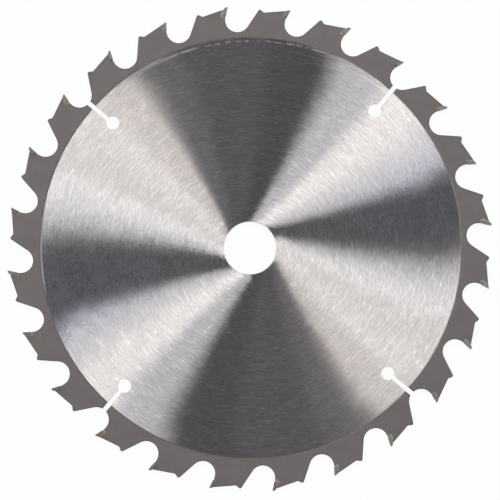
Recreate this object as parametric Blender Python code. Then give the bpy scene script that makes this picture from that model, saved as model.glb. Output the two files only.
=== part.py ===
"""A circular saw blade for wood: a toothed steel plate with a bore, four expansion slots and 24 carbide tips.

The blade lies flat with its axis on +Z and its origin at the middle of the bore, halfway through the plate.
Tooth 01 points along +X, the others follow counter-clockwise, and every tooth cuts clockwise as seen from +Z.
Lengths are in metres and angles in radians.
"""

from math import asin, ceil, cos, pi, radians, sin, sqrt, tan

import bmesh
import bpy
from mathutils import Matrix, Vector

# Blade
TIP_CIRCLE_RADIUS = 0.092
BORE_RADIUS = 0.010
PLATE_THICKNESS = 0.0016
TOOTH_COUNT = 24

# Carbide tips
KERF = 0.0026
TIP_LENGTH = 0.0035
TIP_THICKNESS = 0.0011
HOOK = radians(17)
TOP_CLEARANCE = radians(12)
TOP_BEVEL = radians(10)
SIDE_CLEARANCE = radians(2.5)
SIDE_TAPER = radians(1.5)

# Braze between a tip and its seat
BRAZE_THICKNESS = 0.0002
BRAZE_CLEARANCE = 0.00003

# Gullet in front of a tooth
GULLET_RADIUS = 0.00463
LIP_HEIGHT = 0.00135
LIP_SETBACK = 0.0002
LIP_LEAN = radians(4.5)
FLANK_LEAN = radians(38.9)

# Back of a tooth and the kickback shoulder behind it
BACK_DROP = 0.00038
BACK_CLEARANCE = radians(14.1)
SHOULDER_DROP = 0.0013
SHOULDER_RADIUS = 0.0007
NOSE_FALL = radians(31)
VALLEY_RADIUS = 0.0007

# Expansion slots
SLOT_COUNT = 4
FIRST_SLOT_TOOTH = 3
SLOT_WIDTH = 0.00175
SLOT_LENGTH = 0.0117
SLOT_HOLE_RADIUS = 0.00265

# Ground faces around the bore, a little lower than the rim outside them
RIM_WIDTH = 0.0123
GROUND_DEPTH = 0.00004
GROUND_EDGE_WIDTH = 0.0005

# How finely the curves are divided
GULLET_STEP = radians(8)
SMALL_ARC_STEP = radians(16)
BORE_SIDES = 96
SLOT_HOLE_SIDES = 36
GROUND_SIDES = 144

PITCH = 2 * pi / TOOTH_COUNT
SEAT_GAP = BRAZE_THICKNESS + 2 * BRAZE_CLEARANCE


def clear_scene():
    for obj in list(bpy.data.objects):
        bpy.data.objects.remove(obj, do_unlink=True)


def make_material(name, colour, metallic, roughness):
    material = bpy.data.materials.new(name)
    material.use_nodes = True
    shader = material.node_tree.nodes["Principled BSDF"]
    shader.inputs["Base Color"].default_value = (*colour, 1)
    shader.inputs["Metallic"].default_value = metallic
    shader.inputs["Roughness"].default_value = roughness
    return material


def add_object(name, mesh, material=None):
    obj = bpy.data.objects.new(name, mesh)
    bpy.context.scene.collection.objects.link(obj)
    if material and not mesh.materials:
        mesh.materials.append(material)
    return obj


def mesh_of(name, shape):
    """Turns a bmesh into a mesh whose faces all point out, and frees the bmesh."""
    bmesh.ops.recalc_face_normals(shape, faces=shape.faces)
    mesh = bpy.data.meshes.new(name)
    shape.to_mesh(mesh)
    shape.free()
    return mesh


def smooth(mesh, sharpest=radians(25)):
    mesh.shade_smooth()
    mesh.set_sharp_from_angle(angle=sharpest)


# Flat geometry. A tooth's own frame has its cutting corner on +X, so +Y is towards the back of the tooth.


def along(angle, length=1.0):
    return Vector((cos(angle), sin(angle))) * length


def turned(point, angle):
    return Matrix.Rotation(angle, 2) @ point


def crossing(point, direction, other_point, other_direction):
    """Where two lines meet."""
    across = direction.cross(other_direction)
    return point + direction * ((other_point - point).cross(other_direction) / across)


def arc(centre, radius, first, last, step):
    """Points along an arc from one angle to another, with both of its ends."""
    count = max(2, ceil(abs(last - first) / step))
    return [centre + along(first + (last - first) * i / count, radius) for i in range(count + 1)]


def on_tip(down, behind):
    """A point by its distance down the rake face from the cutting corner, and its distance behind that face."""
    return Vector((TIP_CIRCLE_RADIUS, 0)) + along(pi - HOOK, down) + along(pi / 2 - HOOK, behind)


def gullet_centre():
    lip = on_tip(TIP_LENGTH + SEAT_GAP, LIP_SETBACK)
    foot_of_lip = lip + along(pi - LIP_LEAN, LIP_HEIGHT)
    return foot_of_lip - along(pi / 2 - LIP_LEAN, GULLET_RADIUS)


def gullet():
    """From the flank of the tooth ahead, round the bottom, to the foot of this tooth's lip."""
    return arc(gullet_centre(), GULLET_RADIUS, 3 * pi / 2 - FLANK_LEAN, pi / 2 - LIP_LEAN, GULLET_STEP)


def seat():
    """The L-shaped notch that the tip is brazed into, from its front lip to the back of the tooth."""
    inner_corner = on_tip(TIP_LENGTH + SEAT_GAP, TIP_THICKNESS + SEAT_GAP)
    top_corner = crossing(inner_corner, along(-HOOK), back_line_start(), back_direction())
    return [on_tip(TIP_LENGTH + SEAT_GAP, LIP_SETBACK), inner_corner, top_corner]


def back_line_start():
    return Vector((TIP_CIRCLE_RADIUS - BACK_DROP, 0))


def back_direction():
    return along(pi / 2 + BACK_CLEARANCE)


def shoulder_centre():
    """The middle of the rounded crest, which touches both the next gullet's flank and the shoulder circle."""
    flank_normal = FLANK_LEAN - PITCH
    flank_foot = turned(gullet()[0], PITCH)
    flank_direction = along(-flank_normal)
    start = flank_foot - turned(flank_direction, pi / 2) * SHOULDER_RADIUS
    reach = TIP_CIRCLE_RADIUS - SHOULDER_DROP - SHOULDER_RADIUS
    half = start.dot(flank_direction)
    return start + flank_direction * (sqrt(half * half - start.length_squared + reach * reach) - half)


def valley_and_shoulder():
    """The dip behind the tooth's back, the nose that rises out of it, and the rounded crest."""
    crest = arc(shoulder_centre(), SHOULDER_RADIUS, -NOSE_FALL, pi / 2 - (FLANK_LEAN - PITCH), SMALL_ARC_STEP)
    nose_direction = along(pi / 2 - NOSE_FALL)
    corner = crossing(back_line_start(), back_direction(), crest[0], nose_direction)
    half_turn = (NOSE_FALL + BACK_CLEARANCE) / 2
    to_centre = along(half_turn - NOSE_FALL, VALLEY_RADIUS / cos(half_turn))
    dip = arc(corner + to_centre, VALLEY_RADIUS, pi + BACK_CLEARANCE, pi - NOSE_FALL, SMALL_ARC_STEP)
    return dip + crest


def plate_outline():
    one_tooth = gullet() + seat() + valley_and_shoulder()
    return [turned(point, PITCH * tooth) for tooth in range(TOOTH_COUNT) for point in one_tooth]


# Solids


def slab(outline, thickness):
    """A flat outline extruded to this thickness, half of it above z = 0 and half below."""
    shape = bmesh.new()
    bottom = [shape.verts.new((point.x, point.y, -thickness / 2)) for point in outline]
    face = shape.faces.new(bottom)
    raised = bmesh.ops.extrude_face_region(shape, geom=[face])["geom"]
    top = [item for item in raised if isinstance(item, bmesh.types.BMVert)]
    bmesh.ops.translate(shape, verts=top, vec=(0, 0, thickness))
    return shape


def cone(name, sides, low_radius, high_radius, low, high):
    shape = bmesh.new()
    bmesh.ops.create_cone(
        shape, cap_ends=True, segments=sides, radius1=low_radius, radius2=high_radius, depth=high - low
    )
    bmesh.ops.translate(shape, verts=shape.verts, vec=(0, 0, (low + high) / 2))
    return mesh_of(name, shape)


def cut(target, cutter):
    cutter.hide_render = True
    cutter.display_type = "WIRE"
    boolean = target.modifiers.new(cutter.name, "BOOLEAN")
    boolean.operation = "DIFFERENCE"
    boolean.solver = "EXACT"
    boolean.object = cutter


def slot_outline():
    """A keyhole on the line through the gullet's centre: a round end hole and a straight slot out to the gullet."""
    centre = gullet_centre()
    hole = Vector((centre.x - GULLET_RADIUS - SLOT_LENGTH, centre.y))
    half_mouth = asin(SLOT_WIDTH / 2 / SLOT_HOLE_RADIUS)
    hole_edge = arc(hole, SLOT_HOLE_RADIUS, half_mouth, 2 * pi - half_mouth, 2 * pi / SLOT_HOLE_SIDES)
    inner_side = Vector((centre.x, centre.y - SLOT_WIDTH / 2))
    outer_side = Vector((centre.x, centre.y + SLOT_WIDTH / 2))
    return hole_edge + [inner_side, outer_side]


def slot_tooth(slot):
    return FIRST_SLOT_TOOTH + round(slot * TOOTH_COUNT / SLOT_COUNT)


def add_plate(material, axis):
    plate = add_object("blade_plate", mesh_of("blade_plate", slab(plate_outline(), PLATE_THICKNESS)), material)
    plate.parent = axis

    through = 2 * PLATE_THICKNESS
    bore = cone("bore_cutter", BORE_SIDES, BORE_RADIUS, BORE_RADIUS, -through, through)
    cut(plate, add_object("bore_cutter", bore))

    slot_mesh = mesh_of("slot_cutter", slab(slot_outline(), through))
    for slot in range(SLOT_COUNT):
        cutter = add_object(f"slot_cutter_{slot + 1}", slot_mesh)
        cutter.rotation_euler.z = PITCH * slot_tooth(slot)
        cut(plate, cutter)

    ground_radius = TIP_CIRCLE_RADIUS - RIM_WIDTH
    ground_mesh = cone(
        "ground_face_cutter",
        GROUND_SIDES,
        ground_radius,
        ground_radius + 2 * GROUND_EDGE_WIDTH,
        PLATE_THICKNESS / 2 - GROUND_DEPTH,
        PLATE_THICKNESS / 2 + GROUND_DEPTH,
    )
    for name, tilt in (("ground_face_cutter_top", 0), ("ground_face_cutter_bottom", pi)):
        cutter = add_object(name, ground_mesh)
        cutter.rotation_euler.x = tilt
        cut(plate, cutter)
    smooth(plate.data)


def grind(shape, point, normal):
    """Takes away what lies beyond a plane and closes the cut."""
    everything = shape.verts[:] + shape.edges[:] + shape.faces[:]
    made = bmesh.ops.bisect_plane(
        shape, geom=everything, dist=1e-7, plane_co=point, plane_no=normal, clear_outer=True
    )
    edges = [item for item in made["geom_cut"] if isinstance(item, bmesh.types.BMEdge)]
    bmesh.ops.contextual_create(shape, geom=edges)


def tip_mesh(name, high_side):
    """A carbide blank ground on its top and both sides. high_side is 1 where the higher corner is on +Z."""
    corners = ((0, 0), (TIP_LENGTH, 0), (TIP_LENGTH, TIP_THICKNESS), (0, TIP_THICKNESS))
    shape = slab([on_tip(down, behind) for down, behind in corners], KERF)
    down = along(pi - HOOK).to_3d()
    behind = along(pi / 2 - HOOK).to_3d()
    up = Vector((0, 0, 1))
    cutting_edge = on_tip(0, 0).to_3d()
    top = behind * tan(HOOK + TOP_CLEARANCE) - down - up * high_side * tan(TOP_BEVEL)
    grind(shape, cutting_edge + up * high_side * KERF / 2, top)
    for side in (1, -1):
        flank = up * side + down * tan(SIDE_TAPER) + behind * tan(SIDE_CLEARANCE)
        grind(shape, cutting_edge + up * side * KERF / 2, flank)
    return mesh_of(name, shape)


def add_tips(material, axis):
    """Every second tooth has its higher corner on the other side of the blade."""
    hands = (tip_mesh("tip_high_above", 1), tip_mesh("tip_high_below", -1))
    for tooth in range(TOOTH_COUNT):
        tip = add_object(f"carbide_tip_{tooth + 1:02d}", hands[tooth % 2], material)
        tip.rotation_euler.z = PITCH * tooth
        tip.parent = axis


def braze_outline():
    """An L of even thickness, under the foot of the tip and up behind it to the back of the tooth."""
    near = BRAZE_CLEARANCE
    far = BRAZE_CLEARANCE + BRAZE_THICKNESS
    back_faces = [on_tip(0, TIP_THICKNESS + offset) for offset in (far, near)]
    top_far, top_near = (
        crossing(point, along(-HOOK), back_line_start(), back_direction()) for point in back_faces
    )
    return [
        on_tip(TIP_LENGTH + far, LIP_SETBACK),
        on_tip(TIP_LENGTH + far, TIP_THICKNESS + far),
        top_far,
        top_near,
        on_tip(TIP_LENGTH + near, TIP_THICKNESS + near),
        on_tip(TIP_LENGTH + near, LIP_SETBACK),
    ]


def add_braze(material, axis):
    mesh = mesh_of("braze_seam", slab(braze_outline(), PLATE_THICKNESS))
    for tooth in range(TOOTH_COUNT):
        seam = add_object(f"braze_seam_{tooth + 1:02d}", mesh, material)
        seam.rotation_euler.z = PITCH * tooth
        seam.parent = axis


clear_scene()
blade_axis = bpy.data.objects.new("blade_axis", None)
bpy.context.scene.collection.objects.link(blade_axis)
add_plate(make_material("ground_steel", (0.45, 0.44, 0.43), 1, 0.35), blade_axis)
add_tips(make_material("tungsten_carbide", (0.24, 0.24, 0.22), 1, 0.45), blade_axis)
add_braze(make_material("braze_alloy", (0.50, 0.40, 0.27), 1, 0.4), blade_axis)
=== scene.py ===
"""The looks of a carbide-tipped circular saw blade on a white floor, seen almost straight from above.

Lengths are in metres, but the braze is shaped in millimetres. The blade's axis is +Z. Tooth 01 points
along +X. From there the teeth are counted, and the directions on the blade given in degrees, both
counter-clockwise.
"""

from math import cos, pi, radians, sin, tan

import bpy
from mathutils import Matrix, Vector


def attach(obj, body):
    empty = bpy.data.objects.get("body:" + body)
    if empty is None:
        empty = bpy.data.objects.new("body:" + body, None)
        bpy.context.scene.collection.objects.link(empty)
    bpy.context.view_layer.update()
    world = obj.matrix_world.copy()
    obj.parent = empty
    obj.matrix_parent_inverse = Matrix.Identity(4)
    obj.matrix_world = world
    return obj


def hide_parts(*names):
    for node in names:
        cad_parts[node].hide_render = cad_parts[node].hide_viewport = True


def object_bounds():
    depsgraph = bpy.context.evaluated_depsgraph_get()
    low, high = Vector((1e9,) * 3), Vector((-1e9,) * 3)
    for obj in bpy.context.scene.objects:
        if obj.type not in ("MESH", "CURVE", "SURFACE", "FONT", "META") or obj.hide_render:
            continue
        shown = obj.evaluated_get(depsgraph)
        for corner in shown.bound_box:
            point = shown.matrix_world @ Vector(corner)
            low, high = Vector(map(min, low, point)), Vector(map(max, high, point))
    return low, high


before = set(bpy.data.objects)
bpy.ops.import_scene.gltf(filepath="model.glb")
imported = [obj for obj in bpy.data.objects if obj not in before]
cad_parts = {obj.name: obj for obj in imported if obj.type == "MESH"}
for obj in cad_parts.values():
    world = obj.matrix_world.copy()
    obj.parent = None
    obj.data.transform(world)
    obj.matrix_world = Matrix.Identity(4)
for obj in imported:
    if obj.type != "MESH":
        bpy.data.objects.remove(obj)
cad_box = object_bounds()

# The camera looks down on the blade from two thirds of a metre with a long lens, a little off the blade's
# axis, and it is rolled so that no tooth points straight to the right.

CAMERA_DISTANCE = 0.663
CAMERA_LENS = 126
CAMERA_ROLL = radians(-5.29)
CAMERA_TILT = radians(1.89)
CAMERA_SWING = radians(0.44)
CAMERA_OFF_CENTRE = (-0.00001, -0.00075)

camera_data = bpy.data.cameras.new("camera")
camera_data.lens = CAMERA_LENS
camera_data.sensor_width = 36
camera = bpy.data.objects.new("camera", camera_data)
bpy.context.scene.collection.objects.link(camera)
camera_turn = (
    Matrix.Rotation(CAMERA_ROLL, 4, "Z")
    @ Matrix.Rotation(CAMERA_TILT, 4, "X")
    @ Matrix.Rotation(-CAMERA_SWING, 4, "Y")
)
camera.matrix_world = camera_turn @ Matrix.Translation((*CAMERA_OFF_CENTRE, CAMERA_DISTANCE))
bpy.context.scene.camera = camera

# The plate is one laser-cut disc of hardened tool steel. Its toothed rim stays as it was blasted after
# hardening. Inside the rim both faces are ground bright with a cup wheel that sweeps across the turning
# blade, and the rings of scratches that it leaves throw the lamps back as four bright fans.

TOOTH_COUNT = 24
TOOTH_PITCH = 2 * pi / TOOTH_COUNT
GROUND_RADIUS = 0.0797
GROUND_CENTRE = (0.00040, 0.00028)
GROUND_SHRINK = 0.00008
STEP_INSIDE = 0.0794
STEP_OUTSIDE = 0.0804
EDGE_BREAK = 0.00008
DARK_BAND_WIDTH = 0.00022
LEVEL = 0.9999
NEARLY_LEVEL = 0.95
CLOSE = 0.0001
SHORTEST_EDGE = 0.00003
SCRATCH_LEANS = (-5, 0, 2, 4, 8, 13, 19, 27)


class Wire:
    """A socket of a material. Python's operators on it add Math nodes, and node() adds any other node."""

    def __init__(self, tree, socket=None):
        self.tree = tree
        self.socket = socket

    def node(self, kind, settings, sockets, output=0):
        """Adds a node. Its settings come first, then its sockets, each a plain value or another wire."""
        made = self.tree.nodes.new("ShaderNode" + kind)
        for name, setting in settings.items():
            setattr(made, name, setting)
        for name, value in sockets.items():
            if isinstance(value, Wire):
                self.tree.links.new(value.socket, made.inputs[name])
            else:
                made.inputs[name].default_value = value
        return Wire(self.tree, made.outputs[output] if made.outputs else None)

    def math(self, operation, *others):
        """Adds a Math node that works on this wire, and on the other values after it."""
        return self.node("Math", {"operation": operation}, dict(enumerate((self, *others))))

    def clamped(self):
        return self.node("Clamp", {}, {0: self})

    def __add__(self, other):
        return self.math("ADD", other)

    __radd__ = __add__

    def __sub__(self, other):
        return self.math("SUBTRACT", other)

    def __rsub__(self, other):
        return self.node("Math", {"operation": "SUBTRACT"}, {0: other, 1: self})

    def __mul__(self, other):
        return self.math("MULTIPLY", other)

    __rmul__ = __mul__

    def __truediv__(self, other):
        return self.math("DIVIDE", other)

    def __rtruediv__(self, other):
        return self.node("Math", {"operation": "DIVIDE"}, {0: other, 1: self})

    def __pow__(self, other):
        return self.math("POWER", other)


def new_material(name):
    """An empty material, and the wire that its nodes start from."""
    material = bpy.data.materials.new(name)
    material.use_nodes = True
    material.node_tree.nodes.clear()
    return material, Wire(material.node_tree)


def finish_material(shader):
    """Links the last shader to the material's output."""
    shader.node("OutputMaterial", {}, {0: shader})


def finish_metal(colour, metallic, roughness, relief=None):
    """Ends a material in a metal of this finish. Its relief is a height, its strength and its depth."""
    sockets = {"Base Color": colour, "Metallic": metallic, "Roughness": roughness}
    if relief:
        height, strength, depth = relief
        bump = {"Strength": strength, "Distance": depth, "Height": height}
        sockets["Normal"] = colour.node("Bump", {}, bump)
    finish_material(colour.node("BsdfPrincipled", {}, sockets))


def step(value, low, high):
    """0 below low, 1 above high, and smooth between them."""
    return value.node("MapRange", {"interpolation_type": "SMOOTHSTEP"}, {0: value, 1: low, 2: high})


def mixed_colour(factor, first, second):
    return factor.node("Mix", {"data_type": "RGBA"}, {0: factor, 6: first, 7: second}, 2)


def mixed_shader(factor, first, second):
    return factor.node("MixShader", {}, {0: factor, 1: first, 2: second})


def noise(place, scale, detail, roughness=0.5):
    """Cloudy noise, mostly between 0.3 and 0.7. A scale of 1000 gives clouds of about a millimetre."""
    sockets = {"Vector": place, "Scale": scale, "Detail": detail, "Roughness": roughness}
    return place.node("TexNoise", {}, sockets)


def length(x, y):
    """The length of a flat vector."""
    flat = x.node("CombineXYZ", {}, {0: x, 1: y})
    return flat.node("VectorMath", {"operation": "LENGTH"}, {0: flat}, "Value")


def place_on_blade(wire):
    """The point on the blade as a vector, its x and y, and its distance from the blade's axis."""
    place = wire.node("TexCoord", {}, {}, "Object")
    x = wire.node("SeparateXYZ", {}, {0: place}, 0)
    y = wire.node("SeparateXYZ", {}, {0: place}, 1)
    return place, x, y, length(x, y)


def scratches(x, y, centre, long, wide, detail):
    """Noise drawn out along rings about a point beside the blade's axis."""
    ring = length(x - centre[0], y - centre[1])
    return noise(x.node("CombineXYZ", {}, {0: x / long, 1: y / long, 2: ring / wide}), 1, detail)


def ring_band(reach, centre, width):
    """1 on a ring about the ground disc's centre, falling smoothly to 0 at this distance from it."""
    return 1 - step((reach - centre).math("ABSOLUTE"), width * 0.3, width)


def sector(x, y, radius, centre, half):
    """1 towards this direction, falling smoothly to 0 at this angle from it."""
    toward = (x * cos(radians(centre)) + y * sin(radians(centre))) / radius
    return step(toward, cos(radians(half)), cos(radians(half * 0.5)))


def scratched_colour(place, fine, left, right):
    """Pale hairs painted where the scratches throw light, as painted glints, on steel that leans to green
    here and to pink there.
    """
    crossing = (1 - (left - 0.5).math("ABSOLUTE") * 12).clamped()
    crossing = crossing + (1 - (right - 0.5).math("ABSOLUTE") * 12).clamped()
    hair_glints = fine * 0.64 + crossing * 0.17
    cast = step(noise(place, 900, 2), 0.35, 0.65)
    dull = mixed_colour(cast, (0.515, 0.525, 0.525, 1), (0.535, 0.51, 0.525, 1))
    # painted glints: pale and paler hairs along the scratches
    colour = mixed_colour(step(hair_glints, 0.215, 0.575), dull, (0.745, 0.735, 0.725, 1))
    return mixed_colour(step(hair_glints, 0.56, 0.68), colour, (0.95, 0.94, 0.93, 1))


def side_fan_reflections_and_blotches(colour, place, x, y, radius, fine, chips):
    """Painted reflections in the narrow dark fans on two opposite sides: a bluish cast, pale streaks and a
    pale bluish patch. Lighter and darker blotches on these sides and towards 184 degrees.
    """
    sides = sector(x, y, radius, 191, 12) + sector(x, y, radius, 11, 12)
    outside = step(radius, 0.035, 0.070)
    # painted reflection: a bluish cast and pale streaks where the dark fans mirror the dim room
    colour = mixed_colour(sides * outside * 0.30, colour, (0.47, 0.50, 0.64, 1))
    colour = mixed_colour(sides * step(fine, 0.50, 0.70) * 0.7, colour, (0.93, 0.94, 0.97, 1))
    pale_reflection_patch = sector(x, y, radius, 190, 14) * outside * step(noise(place, 120, 2), 0.47, 0.58)
    colour = mixed_colour(pale_reflection_patch * 0.6, colour, (0.72, 0.75, 0.84, 1))
    # lighter and darker blotches on these sides and towards 184 degrees
    stain = noise(place, 240, 5, 0.7) * 0.5 + chips * 0.5
    blotched = (sector(x, y, radius, 184, 24) + sides * 0.7).clamped()
    colour = mixed_colour(blotched * step(stain, 0.50, 0.62) * 0.6, colour, (0.76, 0.77, 0.81, 1))
    return mixed_colour(blotched * (1 - step(stain, 0.38, 0.49)) * 0.6, colour, (0.40, 0.39, 0.41, 1))


def scratch_lean(x, y, radius, angle, fine, left, right):
    """How many degrees the scratches lean out of a circle about the axis.

    They lean most beside the bore and a little at the rim. Their rings lie about a millimetre off the axis
    and are not quite round, and each scratch strays a little from its neighbours.
    """
    lean = (radius * 1000) ** -1.5 * 958 - 1.25
    rings = (x * 0.038 - y * 0.042) / radius**2
    warp = (angle * 3).math("COSINE") * -0.5
    sway = step(left - right + 0.5, 0.3, 0.7) - 0.5
    fuzz = step(fine, 0.3, 0.7) - 0.5
    lean = lean + step(radius, 0.069, 0.079) * 1.8 + sway * (0.045 / radius) + fuzz * 1.6
    return lean + rings + warp


def brushed_steel(colour, lean):
    """Brushed steel for any lean of its scratches, blended between shaders of one fixed lean each."""
    shaders = []
    for fixed in SCRATCH_LEANS:
        sockets = {"Color": colour, "Roughness": 0.345, "Anisotropy": 0.85, "Rotation": -fixed / 360 % 1}
        shaders.append(colour.node("BsdfAnisotropic", {"distribution": "BECKMANN"}, sockets))
    shader = shaders[0]
    for low, high, following in zip(SCRATCH_LEANS, SCRATCH_LEANS[1:], shaders[1:]):
        shader = mixed_shader(((lean - low) / (high - low)).clamped(), shader, following)
    return shader


def edge_highlights_and_glints(x, y, radius, angle, fine, chips):
    """Painted highlights: pale dashes and lines along the edge of the ground disc, and painted glints as
    small specks all over.
    """
    reach = length(x - GROUND_CENTRE[0], y - GROUND_CENTRE[1])
    dash_place = {0: angle * GROUND_RADIUS / 0.0030, 1: reach / 0.0011}
    dash = noise(x.node("CombineXYZ", {}, dash_place), 1, 2)
    line = 0.07895 - step(angle, radians(62), radians(84)) * 0.0006
    breaks = step(dash + (angle - radians(85)) ** 2, 0.47, 0.66)
    painted_highlight = ring_band(reach, line, 0.0006) * sector(x, y, radius, 86, 38) * breaks * 0.75
    lip = ring_band(reach, 0.07905, 0.0010) * sector(x, y, radius, 117, 9)
    left_line = ring_band(reach, 0.07945, 0.0006) * sector(x, y, radius, 175, 14)
    right_line = ring_band(reach, 0.07960, 0.0005) * sector(x, y, radius, -5, 9)
    specks = step(chips + (fine - 0.5) * 0.5, 0.70, 0.82)
    for mark in (lip * step(dash, 0.25, 0.50) * 0.7, left_line, right_line * 0.4, specks * 0.35):
        painted_highlight = painted_highlight.math("MAXIMUM", mark)
    return painted_highlight


def ground_steel():
    """Fine scratches on even rings, and two coarser families of them that cross."""
    material, start = new_material("ground_steel")
    place, x, y, radius = place_on_blade(start)
    angle = y.math("ARCTAN2", x)
    fine = scratches(x, y, centre=(0.002, -0.001), long=0.0019, wide=0.00021, detail=1)
    left = scratches(x, y, centre=(0.008, 0.002), long=0.010, wide=0.00042, detail=0)
    right = scratches(x, y, centre=(-0.006, -0.007), long=0.010, wide=0.00042, detail=0)
    chips = noise(place, 1100, 2)
    colour = scratched_colour(place, fine, left, right)
    colour = side_fan_reflections_and_blotches(colour, place, x, y, radius, fine, chips)
    steel = brushed_steel(colour, scratch_lean(x, y, radius, angle, fine, left, right))
    pale = {"Base Color": (0.47, 0.465, 0.46, 1), "Metallic": 0.5, "Roughness": 0.4}
    # painted highlights and glints: a paler metal along the edge and in specks
    painted_highlight = edge_highlights_and_glints(x, y, radius, angle, fine, chips)
    finish_material(mixed_shader(painted_highlight, steel, start.node("BsdfPrincipled", {}, pale)))
    return material


def in_tooth(x, y, radius):
    """The point as tooth 01 would have it: its x and y once the nearest tooth is turned back onto +X."""
    ahead = TOOTH_PITCH / 3
    local = (y.math("ARCTAN2", x) + ahead).math("FLOORED_MODULO", TOOTH_PITCH) - ahead
    return radius * local.math("COSINE"), radius * local.math("SINE")


def spot(along, across, centre, size):
    """1 at a point, falling smoothly to 0 at this distance along and across."""
    away = ((along - centre[0]) / size[0]) ** 2 + ((across - centre[1]) / size[1]) ** 2
    return 1 - step(away, 0.0, 1.0)


def blasted_steel():
    """A fine even grain, faint stains, and a brown tint beside some tips from the heat of the brazing."""
    material, start = new_material("blasted_steel")
    place, x, y, radius = place_on_blade(start)
    grain = noise(place, 4500, 3)
    cloud = step(noise(place, 160, 4), 0.3, 0.7)
    colour = mixed_colour(cloud, (0.150, 0.1405, 0.137, 1), (0.174, 0.163, 0.159, 1))
    colour = mixed_colour(step(grain, 0.25, 0.75) * 0.6, colour, (0.222, 0.209, 0.204, 1))
    tooth_x, tooth_y = in_tooth(x, y, radius)
    blur = noise(place, 700, 3) * 0.0016 - 0.0008
    heat = spot(tooth_x + blur, tooth_y - blur, (0.0888, 0.0026), (0.0026, 0.0034))
    tint = heat * step(noise(place, 45, 0), 0.45, 0.7) * 0.4
    colour = mixed_colour(tint, colour, (0.180, 0.128, 0.088, 1))
    finish_metal(colour, metallic=0.3, roughness=0.55 + 0.15 * grain, relief=(grain, 0.35, 0.00003))
    return material


def dark_edge_band():
    """A narrow darker band along the laser cut."""
    material, start = new_material("dark_edge_band")
    place = place_on_blade(start)[0]
    grain = noise(place, 2500, 3)
    colour = mixed_colour(step(grain, 0.3, 0.7), (0.085, 0.076, 0.070, 1), (0.135, 0.122, 0.112, 1))
    finish_metal(colour, metallic=0.35, roughness=0.45 + 0.2 * grain)
    return material


def cut_wall():
    """The wall that the laser left, with fine ridges from face to face."""
    material, start = new_material("cut_wall")
    place, x, y, radius = place_on_blade(start)
    up = start.node("SeparateXYZ", {}, {0: place}, 2)
    ridges = noise(start.node("CombineXYZ", {}, {0: x * 9000, 1: y * 9000, 2: up * 500}), 1, 2)
    colour = mixed_colour(step(ridges, 0.3, 0.7), (0.30, 0.28, 0.26, 1), (0.50, 0.48, 0.46, 1))
    finish_metal(colour, metallic=0.8, roughness=0.38 + 0.2 * ridges, relief=(ridges, 0.6, 0.00002))
    return material


def ground_step():
    """The narrow slope up to the rim, with a painted highlight that makes it lighter in dashes and towards
    one side.
    """
    material, start = new_material("ground_step")
    place, x, y, radius = place_on_blade(start)
    dash = noise(place, 260, 2)
    # painted highlight: lighter towards +X
    side = step(x / radius, -0.2, 0.9)
    dull = mixed_colour(side, (0.150, 0.144, 0.141, 1), (0.20, 0.193, 0.19, 1))
    bright = mixed_colour(side, (0.175, 0.169, 0.166, 1), (0.27, 0.263, 0.26, 1))
    colour = mixed_colour(step(dash, 0.3, 0.7), dull, bright)
    finish_metal(colour, metallic=0.4, roughness=0.45 + 0.15 * dash)
    return material


def only(*pieces):
    """Selects these objects and nothing else, and makes the first one active."""
    bpy.ops.object.select_all(action="DESELECT")
    for piece in pieces:
        piece.select_set(True)
    bpy.context.view_layer.objects.active = pieces[0]


def edit(piece, mode="FACE"):
    """Opens a piece in edit mode with nothing selected."""
    only(piece)
    bpy.ops.object.mode_set(mode="EDIT")
    bpy.ops.mesh.select_mode(type=mode)
    bpy.ops.mesh.select_all(action="DESELECT")


def pick_faces(piece, test):
    """Selects the faces of the piece in edit mode that pass a test, and nothing else."""
    bpy.ops.mesh.select_mode(type="FACE")
    bpy.ops.mesh.select_all(action="DESELECT")
    bpy.ops.object.mode_set(mode="OBJECT")
    for face in piece.data.polygons:
        face.select = test(face)
    bpy.ops.object.mode_set(mode="EDIT")


def done():
    """Leaves edit mode."""
    bpy.ops.object.mode_set(mode="OBJECT")


def smooth_around(piece, test):
    """Smooths the broken edges of a piece, and keeps sharp borders round its faces that pass a test."""
    bpy.ops.object.shade_smooth_by_angle(angle=radians(50))
    edit(piece)
    pick_faces(piece, test)
    bpy.ops.mesh.region_to_loop()
    bpy.ops.mesh.mark_sharp()
    done()


def copy_of(node, name):
    """A copy of a CAD solid under a new name, with its loose triangles merged into one closed mesh."""
    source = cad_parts[node]
    piece = bpy.data.objects.new(name, source.data.copy())
    bpy.context.scene.collection.objects.link(piece)
    piece.data.materials.clear()
    edit(piece)
    bpy.ops.mesh.select_all(action="SELECT")
    bpy.ops.mesh.remove_doubles(threshold=1e-7)
    bpy.ops.mesh.dissolve_limited(angle_limit=radians(0.05))
    done()
    return piece


plate = copy_of("blade_plate", "plate_finished")
for vertex in plate.data.vertices:
    radius = vertex.co.to_2d().length
    if STEP_INSIDE < radius < STEP_OUTSIDE:
        shift = Vector(GROUND_CENTRE).dot(vertex.co.to_2d()) / radius - GROUND_SHRINK
        vertex.co.xy *= 1 + shift / radius
edit(plate)
bpy.ops.mesh.select_all(action="SELECT")
bpy.ops.mesh.remove_doubles(threshold=SHORTEST_EDGE)
pick_faces(plate, lambda face: abs(face.normal.z) > NEARLY_LEVEL)
bpy.ops.mesh.region_to_loop()
bpy.ops.mesh.bevel(offset=EDGE_BREAK, segments=2, clamp_overlap=False)
pick_faces(plate, lambda face: abs(face.normal.z) > NEARLY_LEVEL)
bpy.ops.mesh.inset(thickness=DARK_BAND_WIDTH, use_boundary=True)
bpy.ops.mesh.hide(unselected=False)
pick_faces(plate, lambda face: not face.hide and abs(face.normal.z) > NEARLY_LEVEL)
done()
dark_band_faces = {face.index for face in plate.data.polygons if face.select}
edit(plate)
bpy.ops.mesh.reveal(select=False)
done()
smooth_around(plate, lambda face: abs(face.normal.z) > LEVEL)
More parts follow.
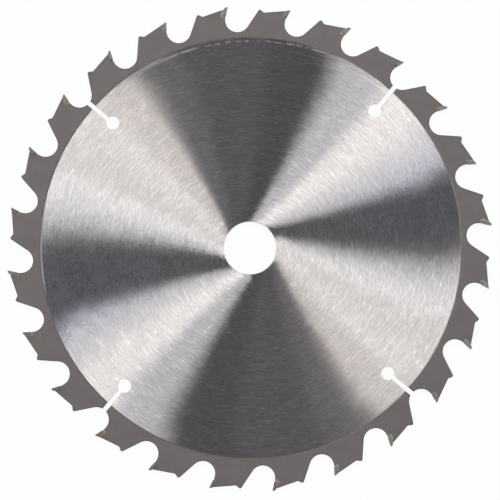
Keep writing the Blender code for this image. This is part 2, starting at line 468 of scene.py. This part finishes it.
finishes = (cut_wall, ground_steel, blasted_steel, ground_step, dark_edge_band)
for finish in finishes:
    plate.data.materials.append(finish())
for face in plate.data.polygons:
    corners = [plate.data.vertices[corner].co.to_2d() for corner in face.vertices]
    reach = max((corner - Vector(GROUND_CENTRE)).length for corner in corners)
    if abs(face.normal.z) < NEARLY_LEVEL:
        finish = cut_wall
    elif abs(face.normal.z) < LEVEL:
        finish = ground_step
    elif reach < GROUND_RADIUS + CLOSE:
        finish = ground_steel
    elif face.index in dark_band_faces:
        finish = dark_edge_band
    else:
        finish = blasted_steel
    face.material_index = finishes.index(finish)
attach(plate, "root")
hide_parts("blade_plate")

# The 24 tips are blanks of sintered tungsten carbide, ground to a fine matt grey on the face, the top and
# both sides once they are brazed in. Every second one has its high corner on the other side of the blade.

HOOK = radians(17)
TIP_CIRCLE_RADIUS = 0.092
TIP_LENGTH = 0.0035
TIP_THICKNESS = 0.0011
TIP_ROUNDING = 0.00006
SMALLEST_TIP_FACE = 4e-7


def down_and_behind(point):
    """How far a point of tooth 01 lies down the rake face from its cutting corner, and behind that face."""
    x = point.x - TIP_CIRCLE_RADIUS
    y = point.y
    return x * -cos(HOOK) + y * sin(HOOK), x * sin(HOOK) + y * cos(HOOK)


def carbide():
    """Fine grinding lines in a grey that leans to green, a little different from tip to tip."""
    material, start = new_material("ground_carbide")
    place, x, y, radius = place_on_blade(start)
    tooth_x, tooth_y = in_tooth(x, y, radius)
    up = start.node("SeparateXYZ", {}, {0: place}, 2)
    line_place = {0: tooth_x * 9000, 1: tooth_y * 1200, 2: up * 1200}
    lines = noise(start.node("CombineXYZ", {}, line_place), 1, 2)
    grain = noise(place, 9000, 1)
    tone = step(noise(place, 30, 0), 0.35, 0.65)
    colour = mixed_colour(tone, (0.20, 0.198, 0.188, 1), (0.30, 0.30, 0.285, 1))
    colour = mixed_colour(step(lines, 0.35, 0.65) * 0.5, colour, (0.42, 0.42, 0.40, 1))
    height = lines + grain * 0.5
    finish_metal(colour, metallic=0.7, roughness=0.36 + 0.2 * grain, relief=(height, 0.3, 0.00001))
    return material


def finished_tip(node, name, turn):
    """A copy of a tip, turned to tooth 01, with its foot and its back edges rounded as they were pressed."""
    tip = copy_of(node, name)
    only(tip)
    tip.rotation_euler.z = -turn
    bpy.ops.object.transform_apply(location=False, rotation=True, scale=False)
    edit(tip, "EDGE")
    done()
    for edge in tip.data.edges:
        ends = [down_and_behind(tip.data.vertices[end].co) for end in edge.vertices]
        low = all(down > TIP_LENGTH - CLOSE for down, behind in ends)
        back = all(behind > TIP_THICKNESS - CLOSE for down, behind in ends)
        edge.select = low or back
    bpy.ops.object.mode_set(mode="EDIT")
    bpy.ops.mesh.bevel(offset=TIP_ROUNDING, segments=2, clamp_overlap=True)
    done()
    smooth_around(tip, lambda face: face.area > SMALLEST_TIP_FACE)
    return tip


def turned_copy(piece, name, turn):
    """A copy of a finished piece, with its own mesh, turned about the blade's axis."""
    copy = bpy.data.objects.new(name, piece.data.copy())
    bpy.context.scene.collection.objects.link(copy)
    only(copy)
    copy.rotation_euler.z = turn
    bpy.ops.object.transform_apply(location=False, rotation=True, scale=False)
    return copy


tip_hands = (
    finished_tip("carbide_tip_01", "tip_high_above", 0),
    finished_tip("carbide_tip_02", "tip_high_below", TOOTH_PITCH),
)
tip_material = carbide()
for hand in tip_hands:
    hand.data.materials.append(tip_material)
for tooth in range(TOOTH_COUNT):
    tip = turned_copy(tip_hands[tooth % 2], f"tip_{tooth + 1:02d}_ground", TOOTH_PITCH * tooth)
    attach(tip, "root")
    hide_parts(f"carbide_tip_{tooth + 1:02d}")
for hand in tip_hands:
    bpy.data.objects.remove(hand)

# Silver braze holds each tip in its seat. It fills the joint, climbs the back of the tip as a fillet on both
# faces and gathers in a puddle at the heel. Its colour runs from pale gold to brown and grey with the heat.
# Its places are in millimetres: down the rake face from the cutting corner, behind that face, and up.

FILLET_DOWN = 2.6
FILLET_SIZE = (1.45, 0.60, 0.26)
PUDDLE_DOWN = 3.5
PUDDLE_THICKNESS = 0.19
PUDDLES = {"wide": (1.25, 0.85), "round": (1.0, 0.7), "thin": (0.7, 0.5)}
BRAZE_BEHIND = 1.15
BRAZE_UP = 0.78
BRAZE_VOXEL = 0.07
BRAZE_KINDS = {
    "gold": ("wide", (1, 5, 7, 10, 16, 19, 20, 21)),
    "straw": ("round", (3, 6, 8, 12, 13, 22)),
    "grey": ("round", (2, 14, 23, 24)),
    "brown": ("thin", (4, 9, 11, 15, 17, 18)),
}


def braze_metal(name, pale, dark):
    """Solidified alloy: pale where it ran thick, darker and duller where flux and heat stained it."""
    material, start = new_material(name)
    place = place_on_blade(start)[0]
    stain = noise(place, 1300, 4)
    grain = noise(place, 7000, 2)
    colour = mixed_colour(step(stain, 0.35, 0.65), (*dark, 1), (*pale, 1))
    height = grain + stain
    finish_metal(colour, metallic=0.4, roughness=0.42 + 0.25 * grain, relief=(height, 0.4, 0.00003))
    return material


def drop(down, up, size):
    """A flattened ball of tooth 01 in line with the back of its tip."""
    x = TIP_CIRCLE_RADIUS * 1000 - down * cos(HOOK) + BRAZE_BEHIND * sin(HOOK)
    y = down * sin(HOOK) + BRAZE_BEHIND * cos(HOOK)
    bpy.ops.mesh.primitive_uv_sphere_add(
        segments=48, ring_count=24, radius=1, location=(x, y, up), rotation=(0, 0, -HOOK)
    )
    bpy.context.object.scale = size
    return bpy.context.object


def braze_shape(name, puddle):
    """The whole braze of tooth 01: the joint, and a fillet and a puddle on each face, melted into one."""
    drops = []
    for up in (BRAZE_UP, -BRAZE_UP):
        drops.append(drop(FILLET_DOWN, up, FILLET_SIZE))
        drops.append(drop(PUDDLE_DOWN, up, (*puddle, PUDDLE_THICKNESS)))
    seam = copy_of("braze_seam_01", name)
    seam.scale = (1000, 1000, 1000)
    only(seam, *drops)
    bpy.ops.object.transform_apply(location=True, rotation=True, scale=True)
    bpy.ops.object.join()
    melt = seam.modifiers.new("melt", "REMESH")
    melt.mode = "VOXEL"
    melt.voxel_size = BRAZE_VOXEL
    flow = seam.modifiers.new("flow", "SMOOTH")
    flow.factor = 0.5
    flow.iterations = 4
    bpy.ops.object.modifier_apply(modifier="melt")
    bpy.ops.object.modifier_apply(modifier="flow")
    return seam


braze_lumps = bpy.data.textures.new("braze_lumps", "CLOUDS")
braze_lumps.noise_scale = 0.9


def finished_braze(shape, name, turn):
    """One tooth's braze: turned into place, made uneven by noise that no other tooth has, and thinned."""
    braze = turned_copy(shape, name, turn)
    lumps = braze.modifiers.new("lumps", "DISPLACE")
    lumps.texture = braze_lumps
    lumps.texture_coords = "LOCAL"
    lumps.strength = 0.16
    lumps.mid_level = 0.5
    bpy.ops.object.modifier_apply(modifier="lumps")
    thin = braze.modifiers.new("thin", "DECIMATE")
    thin.ratio = 0.35
    bpy.ops.object.modifier_apply(modifier="thin")
    braze.scale = (0.001, 0.001, 0.001)
    bpy.ops.object.transform_apply(location=False, rotation=False, scale=True)
    bpy.ops.object.shade_smooth()
    return braze


braze_materials = {
    "gold": braze_metal("braze_gold", (0.375, 0.335, 0.275), (0.26, 0.230, 0.188)),
    "straw": braze_metal("braze_straw", (0.29, 0.265, 0.22), (0.21, 0.19, 0.16)),
    "grey": braze_metal("braze_grey", (0.33, 0.32, 0.295), (0.23, 0.222, 0.205)),
    "brown": braze_metal("braze_brown", (0.24, 0.20, 0.16), (0.17, 0.148, 0.125)),
}
braze_shapes = {name: braze_shape("braze_" + name, size) for name, size in PUDDLES.items()}
for kind, (shape_name, teeth) in BRAZE_KINDS.items():
    for number in teeth:
        turn = TOOTH_PITCH * (number - 1)
        braze = finished_braze(braze_shapes[shape_name], f"braze_{number:02d}_fillet", turn)
        braze.data.materials.clear()
        braze.data.materials.append(braze_materials[kind])
        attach(braze, "root")
        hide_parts(f"braze_seam_{number:02d}")
for shape in braze_shapes.values():
    bpy.data.objects.remove(shape)

# The blade lies on a plain white floor, painted matt. The floor glows white to the camera and to the metal
# above it, so that the blade's shadow stays faint. It is clear from below, so that the underside shows.

FLOOR_SIZE = 4
FLOOR_GLOW = 0.95

bpy.ops.mesh.primitive_plane_add(size=FLOOR_SIZE, location=(0, 0, cad_box[0].z))
floor = bpy.context.object
floor.name = "floor"
floor_material, start = new_material("floor_paint")
paint = start.node("BsdfDiffuse", {}, {"Color": (0.85, 0.85, 0.85, 1)})
glow = start.node("Emission", {}, {"Color": (1, 1, 1, 1), "Strength": 1.0})
seen = start.node("LightPath", {}, {}, "Is Camera Ray")
mirrored = start.node("LightPath", {}, {}, "Is Glossy Ray")
lit = mixed_shader((seen + mirrored).clamped() * FLOOR_GLOW, paint, glow)
from_below = start.node("NewGeometry", {}, {}, "Backfacing")
finish_material(mixed_shader(from_below, lit, start.node("BsdfTransparent", {}, {})))
floor.data.materials.append(floor_material)

# Fifteen pairs of softboxes stand on opposite sides of the blade, all at one height, and the first of each
# pair is much the brighter. Each pair lights one part of two facing fans. Where a pair is dim or missing,
# the fans are dark. The room is dim too, but white where the camera sees it.

LAMP_DISTANCE = 1.8
LAMP_HEIGHT = radians(42)
LAMP_TALL = 0.8
LAMP_SHARES = (1.7, 0.3)
COOL = (0.98, 0.962, 1.0)
LAMPS = (
    ("cool_edge_a", 22.2, 24.2, 1.4, COOL),
    ("cool_softbox_a", 24.2, 34.8, 3.0, COOL),
    ("bright_core", 34.8, 49.5, 4.35, (1.0, 0.96, 0.93)),
    ("cool_softbox_b", 49.5, 62.8, 2.45, COOL),
    ("cool_edge_b", 62.8, 65.8, 1.2, COOL),
    ("dim_fill_a", 84, 108, 0.11, (1.0, 0.96, 1.0)),
    ("dim_fill_b", 108, 121.8, 0.32, (1.0, 0.96, 0.95)),
    ("warm_softbox", 121.8, 134, 3.0, (1.0, 0.935, 0.88)),
    ("pale_softbox_a", 134, 146, 3.8, (1.0, 0.955, 0.92)),
    ("pale_softbox_b", 146, 154, 3.3, (1.0, 0.96, 0.93)),
    ("neutral_softbox_a", 154, 165, 3.95, (1.0, 0.985, 0.965)),
    ("neutral_softbox_b", 165, 170.5, 2.75, (1.0, 0.995, 0.985)),
    ("neutral_softbox_c", 170.5, 173.5, 1.45, (1.0, 0.99, 0.99)),
    ("cool_fill_a", 173.5, 178, 0.3, (0.98, 0.96, 1.0)),
    ("cool_fill_b", 178, 204, 0.1, (0.96, 0.95, 1.0)),
)


def softboxes(name, first, last, brightness, colour):
    """A pair of softboxes, each seen from the blade between these two directions of the camera's view."""
    wide = 2 * LAMP_DISTANCE * cos(LAMP_HEIGHT) * tan(radians(last - first) / 2)
    for side, share in enumerate(LAMP_SHARES):
        data = bpy.data.lights.new(f"{name}_{side + 1}", "AREA")
        data.shape = "RECTANGLE"
        data.size = wide
        data.size_y = LAMP_TALL
        data.energy = brightness * share * pi * wide * LAMP_TALL
        data.color = colour
        softbox = bpy.data.objects.new(f"{name}_{side + 1}", data)
        bpy.context.scene.collection.objects.link(softbox)
        turn = radians(first + last) / 2 + side * pi + CAMERA_ROLL
        away = Vector((cos(LAMP_HEIGHT) * cos(turn), cos(LAMP_HEIGHT) * sin(turn), sin(LAMP_HEIGHT)))
        softbox.location = away * LAMP_DISTANCE
        softbox.rotation_euler = away.to_track_quat("Z", "Y").to_euler()


for lamp in LAMPS:
    softboxes(*lamp)

world = bpy.data.worlds.new("studio")
bpy.context.scene.world = world
world.use_nodes = True
world.node_tree.nodes.clear()
start = Wire(world.node_tree)
dim = start.node("Background", {}, {"Color": (0.965, 0.93, 1.0, 1), "Strength": 0.145})
white = start.node("Background", {}, {"Color": (1, 1, 1, 1), "Strength": 1.0})
seen = start.node("LightPath", {}, {}, "Is Camera Ray")
start.node("OutputWorld", {}, {0: mixed_shader(seen, dim, white)})

bpy.context.scene.view_settings.view_transform = "Standard"
